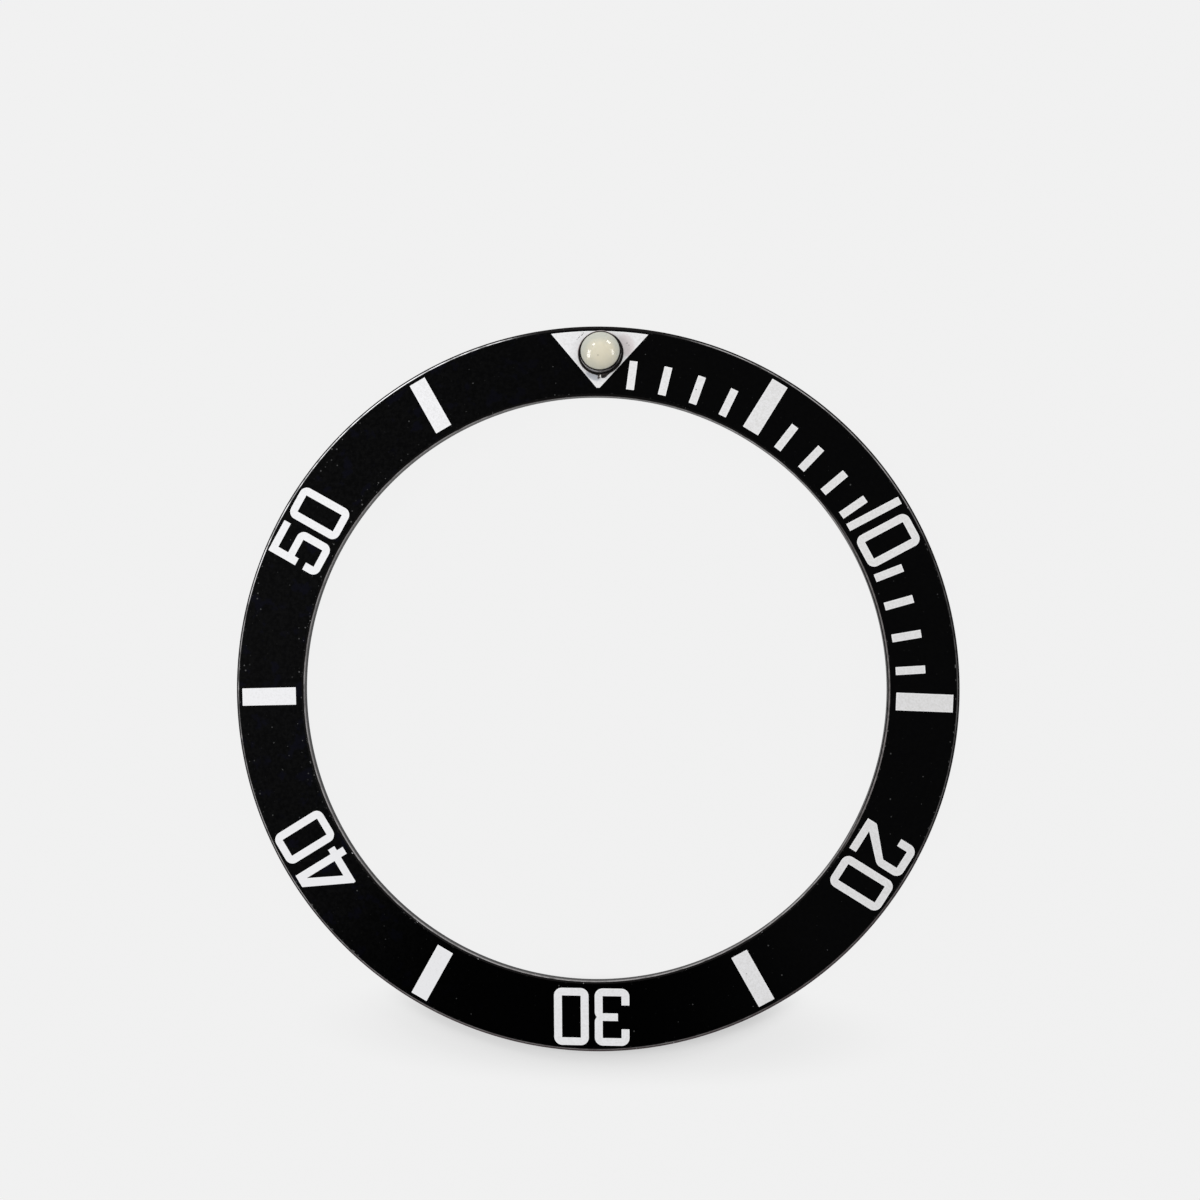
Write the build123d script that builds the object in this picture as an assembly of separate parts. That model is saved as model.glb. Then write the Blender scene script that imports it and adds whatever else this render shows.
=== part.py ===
from build123d import *
import math
import os

# Dive watch bezel insert: a thin dished ring with a printed minute scale and a luminous pearl.
# Millimetres. The ring lies on its back: +Z leaves the face, 12 o'clock points to +Y, and the
# origin is the ring's centre in the plane that the back rests on.
# Angles run clockwise from 12 o'clock, as on a dial, and radii are measured in plan.

# Ring
outer_diameter = 37.9
ring_width = 3.75
face_slope = 9.0
rim_height = 0.75
rim_bevel_width = 0.17
rim_bevel_height = 0.17
bore_bevel_width = 0.12
bore_bevel_height = 0.10
back_edge_break = 0.05
rest_land_width = 0.6

# Band that the marks fill, measured in from the two edges of the ring
mark_margin_outer = 0.35
mark_margin_inner = 0.44
numeral_margin_inner = 0.35
mark_depth = 0.08

# Scale: a bar or a numeral at every fifth minute, and a tick at each minute of the first quarter
minute_count = 60
bar_step_count = 5
numeral_step_count = 10
ticked_count = 15
# How far each mark stands from its own minute, in degrees clockwise
mark_turn_degrees = {
    1: 0.1, 2: 0.25, 3: 0.35, 4: 0.45, 5: 0.55, 6: 0.7, 7: 0.6, 8: 0.65, 10: 1.0,
    12: 1.4, 13: 1.55, 14: 1.75, 15: 1.45, 20: 1.4, 25: 0.15, 30: -0.7,
    35: -1.45, 40: -2.5, 45: -2.6, 50: -2.15, 55: -1.05,
}
bar_width = 0.91
tick_width = 0.41
tick_length = 1.55
# The two ticks beside the first numeral stand off to leave it this much room.
crowded_tick_gap = 0.32

# Triangle at 12 o'clock
triangle_width = 5.10
triangle_tip_width = 0.16
triangle_edge_gap = 0.10

# Numerals, whose tops point outwards
stroke = 0.41
digit_width = 1.80
corner_radius = 0.42
elbow_radius = 0.55
digit_gap = 0.32
gap_beside_one = 0.45
four_width = 2.17
four_overhang = 0.26
waist_turn = 42.0

# Shares of a digit's own width and height
two_foot_notch_share = 0.294
two_elbow_share = 0.549
two_stem_share = 0.593
two_hook_share = 0.670
two_heel_shares = (0.028, 0.192, 0.168)
three_hook_share = 0.291
three_middle_share = 0.333
four_bar_share = 0.121
four_apex_share = 0.562
four_left_shares = (0.158, 0.010)
four_window_shares = (0.281, 0.848)
five_arm_share = 0.661
five_stem_share = 0.441
five_hook_share = 0.2915

# Pearl: a metal cup on the triangle, with its fill and dome, pinned through the ring
pearl_rim_distance = 1.45
pearl_side_offset = 0.08
pin_radius = 0.60
pin_length = 0.66
pin_clearance = 0.02
cup_radius = 1.09
foot_flare = 0.07
foot_height = 0.10
cup_height = 0.43
cup_wall = 0.07
cup_floor = 0.12
fill_height = 0.17
fill_clearance = 0.01
dome_clearance = 0.02
dome_edge_height = 0.13
dome_rise = 0.42
cement_width = 0.08
cement_height = 0.07
cement_gap = 0.01
bead_radius = 0.17
bead_angle = 172.0

# One overrun carries every cutting tool past the face that it cuts
overrun = 0.5

outer_radius = outer_diameter / 2
bore_radius = outer_radius - ring_width
face_outer_radius = outer_radius - rim_bevel_width
face_inner_radius = bore_radius + bore_bevel_width
mark_outer_radius = outer_radius - mark_margin_outer
mark_inner_radius = bore_radius + mark_margin_inner
numeral_inner_radius = bore_radius + numeral_margin_inner
triangle_outer_radius = face_outer_radius - triangle_edge_gap
pearl_radius = outer_radius - pearl_rim_distance
foot_radius = cup_radius + foot_flare
slope = math.radians(face_slope)
mark_length = (mark_outer_radius - mark_inner_radius) / math.cos(slope)
numeral_height = (mark_outer_radius - numeral_inner_radius) / math.cos(slope)
degrees_per_minute = 360 / minute_count


def face_height(radius):
    # The face is a cone that rises towards the bore.
    return rim_height + (face_outer_radius - radius) * math.tan(slope)


def face_plane(angle, radius):
    # Touches the face at one point: x runs clockwise, y down the slope to the rim, z out.
    turn = math.radians(angle)
    sine, cosine = math.sin(turn), math.cos(turn)
    return Plane(
        origin=(radius * sine, radius * cosine, face_height(radius)),
        x_dir=(cosine, -sine, 0),
        z_dir=(sine * math.sin(slope), cosine * math.sin(slope), math.cos(slope)),
    )


def rounded_face(corners):
    # A closed outline from (x, y) or (x, y, radius) corners, rounded by tangent arcs.
    edges = []
    leaving = []
    arriving = []
    count = len(corners)
    for index, corner in enumerate(corners):
        point = Vector(corner[0], corner[1])
        radius = corner[2] if len(corner) > 2 else 0
        if radius == 0:
            arriving.append(point)
            leaving.append(point)
            continue
        before = Vector(*corners[index - 1][:2])
        after = Vector(*corners[(index + 1) % count][:2])
        back = (before - point).normalized()
        ahead = (after - point).normalized()
        half = math.radians(back.get_angle(ahead)) / 2
        setback = radius / math.tan(half)
        inward = (back + ahead).normalized()
        start = point + back * setback
        middle = point + inward * (radius / math.sin(half) - radius)
        end = point + ahead * setback
        edges.append(ThreePointArc(start, middle, end))
        arriving.append(start)
        leaving.append(end)
    for index in range(count):
        following = (index + 1) % count
        edges.append(Line(leaving[index], arriving[following]))
    return make_face(edges)


def ring_blank():
    # One revolved section, with its seam turned into a stretch that has no marks.
    rise = math.tan(slope)
    land_radius = outer_radius - rest_land_width
    section = Polyline(
        (outer_radius - back_edge_break, 0),
        (outer_radius, back_edge_break),
        (outer_radius, rim_height - rim_bevel_height),
        (face_outer_radius, rim_height),
        (face_inner_radius, face_height(face_inner_radius)),
        (bore_radius, face_height(face_inner_radius) - bore_bevel_height),
        (bore_radius, (land_radius - bore_radius) * rise),
        (land_radius, 0),
        close=True,
    )
    bare_minute = ticked_count + bar_step_count / 2
    quarter_turn = 90
    return Rot(Z=quarter_turn - bare_minute * degrees_per_minute) * revolve(
        Plane.XZ * make_face(section), Axis.Z
    )


def mark_prism(angle, radius, sketch):
    # Stands through the face at a mark: the ring loses it, and the inlay keeps what it shares.
    plane = face_plane(angle, radius)
    return extrude(plane.offset(-mark_depth) * sketch, mark_depth + overrun)


def bar_sketch(width, length):
    return Pos(0, length / 2) * Rectangle(width, length)


def triangle_sketch():
    # Point to the bore, two straight sides, and an arc that follows the rim.
    half = triangle_width / 2
    tip = triangle_tip_width / 2
    corner_reach = math.sqrt(triangle_outer_radius ** 2 - half ** 2)
    corner_y = (corner_reach - mark_inner_radius) / math.cos(slope)
    crown_y = (triangle_outer_radius - mark_inner_radius) / math.cos(slope)
    outline = [
        Line((-tip, 0), (tip, 0)),
        Line((tip, 0), (half, corner_y)),
        ThreePointArc((half, corner_y), (0, crown_y), (-half, corner_y)),
        Line((-half, corner_y), (-tip, 0)),
    ]
    return make_face(outline)


def digit_one():
    return Pos(stroke / 2, numeral_height / 2) * Rectangle(stroke, numeral_height)


def digit_zero():
    w, h, r = digit_width, numeral_height, corner_radius
    outside = rounded_face([(0, 0, r), (w, 0, r), (w, h, r), (0, h, r)])
    counter = Pos(w / 2, h / 2) * Rectangle(w - 2 * stroke, h - 2 * stroke)
    return outside - counter


def digit_two():
    w, h, t = digit_width, numeral_height, stroke
    heel_x, heel_high, heel_low = two_heel_shares
    return rounded_face([
        (0, 0),
        (w, 0),
        (w, t),
        (w * two_foot_notch_share, t),
        (w, h * two_elbow_share, elbow_radius),
        (w, h, corner_radius),
        (0, h, corner_radius),
        (0, h * two_hook_share),
        (t, h * two_hook_share),
        (t, h - t),
        (w - t, h - t),
        (w - t, h * two_stem_share),
        (w * heel_x, h * heel_high),
        (0, h * heel_low),
    ])


def digit_three():
    # The spine has a waist, a notch left open where the corner arcs of the two bowls cross.
    w, h, t, r = digit_width, numeral_height, stroke, corner_radius
    half = h / 2
    hook = h * three_hook_share
    middle = w * three_middle_share
    outside = rounded_face([
        (0, 0, r), (w, 0, r), (w, h, r), (0, h, r), (0, h - hook), (t, h - hook), (t, h - t),
        (w - t, h - t), (w - t, half + t / 2), (middle, half + t / 2), (middle, half - t / 2),
        (w - t, half - t / 2), (w - t, t), (t, t), (t, hook), (0, hook),
    ])
    reach = r * math.sin(math.radians(waist_turn))
    notch = Pos(w - r / 2, half) * Rectangle(r, 2 * reach)
    for centre_y in (half - reach, half + reach):
        notch -= Pos(w - r, centre_y) * Circle(r)
    return outside - notch


def digit_four():
    w, h, t = four_width, numeral_height, stroke
    stem = w - four_overhang
    bar = h * four_bar_share
    left_high, left_low = four_left_shares
    window_x, window_y = four_window_shares
    outside = rounded_face([
        (stem - t, 0), (stem, 0), (stem, bar), (w, bar), (w, bar + t), (stem, bar + t),
        (stem, h), (w * four_apex_share, h), (0, h * left_high), (w * left_low, bar),
        (stem - t, bar),
    ])
    window = rounded_face([
        (w * window_x, bar + t), (stem - t, bar + t), (stem - t, h * window_y),
    ])
    return outside - window


def digit_five():
    w, h, t, r = digit_width, numeral_height, stroke, corner_radius
    arm = h * five_arm_share
    return rounded_face([
        (0, h), (w, h), (w, h - t), (t, h - t), (t, arm), (w, arm, r), (w, 0, r), (0, 0, r),
        (0, h * five_hook_share), (t, h * five_hook_share), (t, t), (w - t, t),
        (w - t, arm - t), (t, arm - t), (t, h * five_stem_share), (0, h * five_stem_share),
    ])


digit_sketches = {
    "0": (digit_zero, digit_width),
    "1": (digit_one, stroke),
    "2": (digit_two, digit_width),
    "3": (digit_three, digit_width),
    "4": (digit_four, four_width),
    "5": (digit_five, digit_width),
}


def numeral_layout(minute):
    # The gap between the two digits, and the width of the pair.
    first, second = str(minute)
    gap = gap_beside_one if first == "1" else digit_gap
    return gap, digit_sketches[first][1] + gap + digit_sketches[second][1]


def mark_angle(minute):
    return minute * degrees_per_minute + mark_turn_degrees.get(minute, 0)


def numeral_prisms(minute):
    # The two digits stand side by side, centred on the numeral's own angle.
    gap, width = numeral_layout(minute)
    first_sketch, first_width = digit_sketches[str(minute)[0]]
    second_sketch = digit_sketches[str(minute)[1]][0]
    places = [(first_sketch, -width / 2), (second_sketch, first_width + gap - width / 2)]
    return [
        mark_prism(mark_angle(minute), numeral_inner_radius, Pos(left, 0) * sketch())
        for sketch, left in places
    ]


def tick_angle(minute):
    # A tick stands at its own angle, or just clear of a numeral that would crowd it.
    for numeral in (minute - 1, minute + 1):
        if numeral % numeral_step_count == 0 and numeral > 0:
            width = numeral_layout(numeral)[1]
            offset = width / 2 + crowded_tick_gap + tick_width / 2
            turn = math.degrees(math.atan(offset / mark_inner_radius))
            return mark_angle(numeral) + math.copysign(turn, minute - numeral)
    return mark_angle(minute)


def mark_prisms():
    # Every mark by its name, as the list of prisms that cut its recess.
    triangle = mark_prism(0, mark_inner_radius, triangle_sketch())
    bar = bar_sketch(bar_width, mark_length)
    tick = bar_sketch(tick_width, tick_length)
    prisms = {"triangle_marker": [triangle]}
    for minute in range(1, minute_count):
        if minute % numeral_step_count == 0:
            prisms[f"numeral_{minute}"] = numeral_prisms(minute)
        elif minute % bar_step_count == 0:
            prism = mark_prism(mark_angle(minute), mark_inner_radius, bar)
            prisms[f"bar_{minute:02d}"] = [prism]
        elif minute < ticked_count:
            prism = mark_prism(tick_angle(minute), mark_inner_radius, tick)
            prisms[f"minute_tick_{minute:02d}"] = [prism]
    return prisms


def pearl_location():
    return face_plane(0, pearl_radius).location * Pos(pearl_side_offset, 0, 0)


def turned(points):
    # A part turned about the pearl's axis from its half section.
    return revolve(Plane.XZ * make_face(Polyline(*points, close=True)), Axis.Z)


def pearl_hole():
    return pearl_location() * Cylinder(pin_radius + pin_clearance, 2 * (rim_height + overrun))


def pearl_cup():
    cavity = cup_radius - cup_wall
    profile = [
        (0, -pin_length),
        (pin_radius, -pin_length),
        (pin_radius, 0),
        (foot_radius, 0),
        (foot_radius, foot_height / 2),
        (cup_radius, foot_height),
        (cup_radius, cup_height),
        (cavity, cup_height),
        (cavity, cup_floor),
        (0, cup_floor),
    ]
    return pearl_location() * turned(profile)


def pearl_lume():
    # Luminous paste on the cup's floor.
    radius = cup_radius - cup_wall - fill_clearance
    fill = Cylinder(radius, fill_height, align=(Align.CENTER, Align.CENTER, Align.MIN))
    return pearl_location() * Pos(0, 0, cup_floor) * fill


def pearl_dome():
    # A short cylinder inside the cup's wall, closed by a spherical cap.
    radius = cup_radius - cup_wall - dome_clearance
    seat = cup_floor + fill_height
    shoulder = seat + dome_edge_height
    crown = shoulder + dome_rise
    cap_radius = (radius ** 2 + dome_rise ** 2) / (2 * dome_rise)
    half_turn = math.asin(radius / cap_radius) / 2
    on_cap = (cap_radius * math.sin(half_turn), crown - cap_radius * (1 - math.cos(half_turn)))
    profile = make_face([
        Polyline((0, crown), (0, seat), (radius, seat), (radius, shoulder)),
        ThreePointArc((radius, shoulder), on_cap, (0, crown)),
    ])
    return pearl_location() * revolve(Plane.XZ * profile, Axis.Z)


def pearl_cement(blank):
    # A thin fillet around the cup's foot, with one drop that has run towards the bore.
    inside = foot_radius + cement_gap
    below = -cement_height
    fillet_ring = turned([
        (inside, below), (inside + cement_width, below), (inside + cement_width, 0),
        (inside, cement_height),
    ])
    turn = math.radians(bead_angle)
    reach = inside + bead_radius / 2
    drop = Pos(reach * math.sin(turn), reach * math.cos(turn), 0) * Sphere(bead_radius)
    cup_space = Cylinder(inside, 2 * (bead_radius + overrun))
    return pearl_location() * (fillet_ring + (drop - cup_space)) - blank


def build_parts():
    blank = ring_blank()
    hole = pearl_hole()
    prisms = mark_prisms()
    ring = blank - hole
    parts = {}
    for name, tools in prisms.items():
        inlays = []
        for tool in tools:
            ring = ring - tool
            inlays += (blank & tool).solids()
        if name == "triangle_marker":
            inlays = [inlay - hole for inlay in inlays]
        parts[name] = inlays[0] if len(inlays) == 1 else Compound(children=inlays)
    parts["insert_ring"] = ring
    parts["pearl_cup"] = pearl_cup()
    parts["pearl_lume"] = pearl_lume()
    parts["pearl_dome"] = pearl_dome()
    parts["pearl_cement"] = pearl_cement(blank)
    return parts


os.makedirs("parts", exist_ok=True)
for name, part in build_parts().items():
    export_step(part, f"parts/{name}.step")
    print(name, len(part.solids()), "solids,", round(part.volume, 4), "mm3")
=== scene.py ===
import bpy
import math
import numpy as np
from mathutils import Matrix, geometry


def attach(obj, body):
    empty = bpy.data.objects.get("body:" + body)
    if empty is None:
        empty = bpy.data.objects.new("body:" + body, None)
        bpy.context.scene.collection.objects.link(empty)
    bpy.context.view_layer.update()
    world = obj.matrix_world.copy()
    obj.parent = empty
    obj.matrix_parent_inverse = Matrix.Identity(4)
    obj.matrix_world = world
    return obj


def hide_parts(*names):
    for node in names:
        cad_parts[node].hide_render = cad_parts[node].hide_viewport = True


# Looks of a dive watch bezel insert. Shapes are worked out in millimetres and made metres at the end.
# Angles round the dial run clockwise from 12 o'clock (+Y), and radii are measured in plan.
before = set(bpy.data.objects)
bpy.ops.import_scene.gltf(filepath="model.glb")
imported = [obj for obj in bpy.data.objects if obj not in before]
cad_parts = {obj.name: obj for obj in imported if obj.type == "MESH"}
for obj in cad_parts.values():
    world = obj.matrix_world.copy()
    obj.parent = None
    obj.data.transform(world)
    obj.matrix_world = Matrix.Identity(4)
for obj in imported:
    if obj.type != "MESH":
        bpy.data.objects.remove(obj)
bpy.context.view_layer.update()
print("frame loaded:", len(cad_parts), "nodes")

mm = 0.001
finest = 1e-9  # keeps a division off zero
samePlace = 1e-7  # points nearer than this are one

ring = {
    "rimRadius": 18.95, "boreRadius": 15.20, "rimHeight": 0.75, "slope": 9.0,
    "rimBevelWidth": 0.17, "rimBevelHeight": 0.17, "boreBevelWidth": 0.12, "boreBevelHeight": 0.10,
    "backBreak": 0.05, "backRound": 0.01, "landWidth": 0.6, "edgeRound": 0.03, "arcSteps": 5,
    "spanStep": 0.3, "turnSteps": 960, "faceSlack": 0.004,
    "markOuter": 18.60, "markInner": 15.64, "numeralInner": 15.55,
}
ring["faceOuter"] = ring["rimRadius"] - ring["rimBevelWidth"]
ring["faceInner"] = ring["boreRadius"] + ring["boreBevelWidth"]
slope = math.radians(ring["slope"])


def faceHeight(radius):
    # The face is a cone that rises towards the bore.
    return ring["rimHeight"] + (ring["faceOuter"] - radius) * math.tan(slope)


# Mesh tools

def picked(sizes, *names):
    return [sizes[name] for name in names]


def gridQuads(rows, columns, wrapRows=True, wrapColumns=True):
    # Four neighbours on a grid of points make one face; what wraps closes on its start.
    i = np.arange(rows if wrapRows else rows - 1)
    j = np.arange(columns if wrapColumns else columns - 1)
    i, j = np.meshgrid(i, j, indexing="ij")
    down, right = (i + 1) % rows, (j + 1) % columns
    corners = [i * columns + j, down * columns + j, down * columns + right, i * columns + right]
    return np.stack(corners, -1).reshape(-1, 4)


def roundAxis(radii, heights, steps):
    # Each point of a profile at each angle a of a full turn: (radius sin a, radius cos a, height).
    a = np.linspace(0, 2 * np.pi, steps, endpoint=False)[:, None]
    return np.stack([radii * np.sin(a), radii * np.cos(a), heights + 0 * a], -1).reshape(-1, 3)


def turnedOutward(points, faces):
    # Six times the volume is the sum of a . (b x c) over the faces' triangles; below zero is inside out.
    volume = 0
    for face in faces:
        for k in range(2, face.shape[1]):
            a, b, c = points[face[:, 0]], points[face[:, k - 1]], points[face[:, k]]
            volume += np.sum(a * np.cross(b, c))
    return faces if volume > 0 else [face[:, ::-1] for face in faces]


def makePiece(name, points, faces, materials, nodes, finishes=None, edgeNear=None, smooth=True):
    # Faces in one array have as many corners; finishes gives each face its material's number.
    centre = points.mean(0)
    faces = turnedOutward(points - centre, faces)
    mesh = bpy.data.meshes.new(name)
    sizes = np.concatenate([np.full(len(f), f.shape[1]) for f in faces])
    loops = np.concatenate([f.ravel() for f in faces])
    mesh.vertices.add(len(points))
    mesh.vertices.foreach_set("co", (points * mm).astype(np.float32).ravel())
    mesh.loops.add(len(loops))
    mesh.loops.foreach_set("vertex_index", loops.astype(np.int32))
    mesh.polygons.add(len(sizes))
    mesh.polygons.foreach_set("loop_start", (np.cumsum(sizes) - sizes).astype(np.int32))
    mesh.polygons.foreach_set("use_smooth", np.full(len(sizes), smooth))
    for material in materials:
        mesh.materials.append(material)
    if finishes is not None:
        mesh.polygons.foreach_set("material_index", np.concatenate(finishes).astype(np.int32))
    if edgeNear is not None:
        near = mesh.attributes.new("edgeNear", "FLOAT", "POINT")
        near.data.foreach_set("value", edgeNear.astype(np.float32))
    mesh.update(calc_edges=True)
    mesh.validate()
    piece = bpy.data.objects.new(name, mesh)
    bpy.context.scene.collection.objects.link(piece)
    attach(piece, "root")
    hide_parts(*nodes)


def softOutline(corners, arcSteps=10):
    # A closed run of points from (x, y) or (x, y, radius) corners; a radius becomes a tangent arc,
    # a blend of its two end spokes by sin((1 - t) a) and sin(t a).
    spots = np.array([c[:2] for c in corners], float)
    run = []
    for i, c in enumerate(corners):
        point = spots[i]
        radius = c[2] if len(c) > 2 else 0
        if radius == 0:
            run.append(point[None])
            continue
        back = spots[i - 1] - point
        ahead = spots[(i + 1) % len(spots)] - point
        back, ahead = back / np.hypot(*back), ahead / np.hypot(*ahead)
        half = np.arccos(np.clip(back @ ahead, -1, 1)) / 2
        centre = point + (back + ahead) / np.hypot(*(back + ahead)) * radius / np.sin(half)
        first = point + back * radius / np.tan(half) - centre
        last = point + ahead * radius / np.tan(half) - centre
        sweep = np.pi - 2 * half
        t = np.linspace(0, 1, arcSteps + 1)[:, None]
        run.append(centre + (np.sin((1 - t) * sweep) * first + np.sin(t * sweep) * last) / np.sin(sweep))
    return np.concatenate(run)


def divided(run, step):
    # Points are added along each span of a closed run that is longer than step.
    ahead = np.roll(run, -1, 0)
    parts = []
    for a, b in zip(run, ahead):
        count = max(1, int(np.ceil(np.hypot(*(b - a)) / step)))
        parts.append(a + (b - a) * (np.arange(count) / count)[:, None])
    return np.concatenate(parts)


# Shader tools. In the finishes below a noise is (scale, detail, roughness), a span is (low, high) and
# what they become if not 0 and 1, and patches are a noise and its span. A side is (azimuth, degrees off
# it where it starts, degrees where it is full), an oval is (middle, half sizes, degrees from +X to +Y),
# and specks are (cells to the millimetre, share of the cells that hold one, largest radius).

softness = {"speckEdge": 0.02, "ovalCore": 0.6, "lineCore": 0.4}


def newMaterial(name, look):
    # The look's own inputs go straight into the shader.
    made = bpy.data.materials.new(name)
    made.use_nodes = True
    tree = made.node_tree
    shader = tree.nodes["Principled BSDF"]
    put(tree, shader, look["inputs"])
    return made, tree, shader


def put(tree, node, values):
    # values holds a plain value or a node's socket for each input, by its name or number.
    for key, value in values.items():
        if isinstance(value, bpy.types.NodeSocket):
            tree.links.new(value, node.inputs[key])
        else:
            node.inputs[key].default_value = value


def newNode(tree, kind, values, **settings):
    node = tree.nodes.new(kind)
    for name, value in settings.items():
        setattr(node, name, value)
    put(tree, node, values)
    return node


def calc(tree, operation, *values):
    return newNode(tree, "ShaderNodeMath", dict(enumerate(values)), operation=operation).outputs[0]


def calcVector(tree, operation, *values):
    # Gives a vector, or one number where the operation does.
    node = newNode(tree, "ShaderNodeVectorMath", dict(enumerate(values)), operation=operation)
    return node.outputs["Value" if operation in ("LENGTH", "DISTANCE", "DOT_PRODUCT") else "Vector"]


def times(tree, first, *others):
    for other in others:
        first = calc(tree, "MULTIPLY", first, other)
    return first


def most(tree, first, *others):
    for other in others:
        first = calc(tree, "MAXIMUM", first, other)
    return first


def without(tree, share):
    return calc(tree, "SUBTRACT", 1.0, share)


def blend(tree, share, first, second):
    # A mix node's inputs 6 and 7 are its colours, and its output 2 is their blend.
    return newNode(tree, "ShaderNodeMix", {0: share, 6: first, 7: second}, data_type="RGBA").outputs[2]


def span(tree, value, low, high, toLow=0.0, toHigh=1.0):
    # Carries low..high to toLow..toHigh in a smooth step.
    values = dict(enumerate((value, low, high, toLow, toHigh)))
    return newNode(tree, "ShaderNodeMapRange", values, interpolation_type="SMOOTHSTEP").outputs[0]


def objectPlace(tree, scale=(1, 1, 1)):
    # Object coordinates in millimetres, stretched by scale.
    metres = newNode(tree, "ShaderNodeTexCoord", {}).outputs["Object"]
    values = {"Vector": metres, "Scale": [s / mm for s in scale]}
    return newNode(tree, "ShaderNodeMapping", values).outputs[0]


def placeFrom(tree, place, spot, size, turn=0.0):
    # The place measured from an oval: half sizes along turn (degrees from +X to +Y) and across it.
    turned = (0, 0, math.radians(turn))
    values = {"Vector": place, "Location": (*spot, 0), "Rotation": turned, "Scale": (*size, 1)}
    return newNode(tree, "ShaderNodeMapping", values, vector_type="TEXTURE").outputs[0]


def partOf(tree, place, axis):
    return newNode(tree, "ShaderNodeSeparateXYZ", {0: place}).outputs[axis]


def flatPlace(tree, place):
    return calcVector(tree, "MULTIPLY", place, (1, 1, 0))


def radiusOf(tree, place):
    # Distance in plan from the axis that the place is measured from.
    return calcVector(tree, "LENGTH", flatPlace(tree, place))


def noise(tree, place, scale, detail, roughness):
    values = {"Vector": place, "Scale": scale, "Detail": detail, "Roughness": roughness}
    return newNode(tree, "ShaderNodeTexNoise", values).outputs["Fac"]


def patches(tree, place, noiseValues, spanValues):
    return span(tree, noise(tree, place, *noiseValues), *spanValues)


def specks(tree, place, perMillimetre, share, largest):
    # Cells with a random centre: a share of them hold one round speck of random size.
    values = {"Vector": place, "Scale": perMillimetre}
    cells = newNode(tree, "ShaderNodeTexVoronoi", values, voronoi_dimensions="2D")
    parts = newNode(tree, "ShaderNodeSeparateColor", {0: cells.outputs["Color"]})
    chosen = calc(tree, "LESS_THAN", parts.outputs[0], share)
    size = times(tree, parts.outputs[1], largest * perMillimetre)
    depth = calc(tree, "SUBTRACT", size, cells.outputs["Distance"])
    return times(tree, chosen, span(tree, depth, 0.0, softness["speckEdge"] * perMillimetre))


def fleck(tree, place, *oval):
    # One soft-edged oval spot in plan.
    return span(tree, radiusOf(tree, placeFrom(tree, place, *oval)), 1.0, softness["ovalCore"])


def flecks(tree, place, ovals):
    return most(tree, *(fleck(tree, place, *oval) for oval in ovals))


def line(tree, value, middle, half):
    # One along a thin line where value is near middle.
    away = calc(tree, "ABSOLUTE", calc(tree, "SUBTRACT", value, middle))
    return span(tree, away, half, half * softness["lineCore"])


def towards(tree, place, azimuth, start, full):
    # Rises from 0 to 1 as the direction from the axis turns to azimuth, by the cosine between them.
    turn, start, full = (math.radians(v) for v in (azimuth, start, full))
    unit = calcVector(tree, "NORMALIZE", flatPlace(tree, place))
    cosine = calcVector(tree, "DOT_PRODUCT", unit, (math.sin(turn), math.cos(turn), 0))
    return span(tree, cosine, math.cos(start), math.cos(full))


def bump(tree, height, strength, depth):
    values = {"Height": height, "Strength": strength, "Distance": depth * mm}
    return newNode(tree, "ShaderNodeBump", values).outputs[0]


# Ring

blackFace = {
    "colour": (0.0010, 0.0010, 0.0011, 1), "greyer": (0.0028, 0.0028, 0.0029, 1),
    "blue": (0.0026, 0.0026, 0.0062, 1), "shadedBlack": (0.0002, 0.0002, 0.0002, 1),
    "pale": (0.09, 0.09, 0.09, 1), "inputs": {"Roughness": 0.42}, "gloss": 0.012,
    "leftSide": (-85, 100, 30), "leftShare": 0.9, "evenShare": 0.25,
    "lowSide": (186, 50, 8), "lowShare": 0.7, "mottle": ((5.0, 4.0, 0.7), (0.35, 0.7)),
    "clouds": ((1.1, 3.0, 0.6), (0.56, 0.66)), "cloudShare": 0.6,
    "dust": (1.3, 0.16, 0.05), "dustShare": 0.5, "fineDust": (4.0, 0.12, 0.03), "fineShare": 0.16,
    "crowd": (3.4, 0.42, 0.055), "crowdShare": 0.9, "crowdSide": (-75, 45, 20), "crowdSpan": (0.7, 0.15),
    "chips": ((4.5, 4.0, 0.7), (0.60, 0.66)), "chipBand": (0.09, 0.02),
    "wornSides": ((-115, 50, 25), (95, 40, 15)), "wornShare": 0.9, "chipShare": 0.15,
    "larger": [
        ((-16.80, -3.20), (0.05, 0.03), 40), ((-16.30, -4.60), (0.07, 0.02), -50),
        ((-15.95, -3.85), (0.03, 0.03)), ((-6.60, 15.85), (0.05, 0.035), 20),
        ((17.10, -4.25), (0.04, 0.03)), ((-2.40, 16.75), (0.035, 0.03)),
    ],
    "largerShare": 0.6,
}
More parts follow.
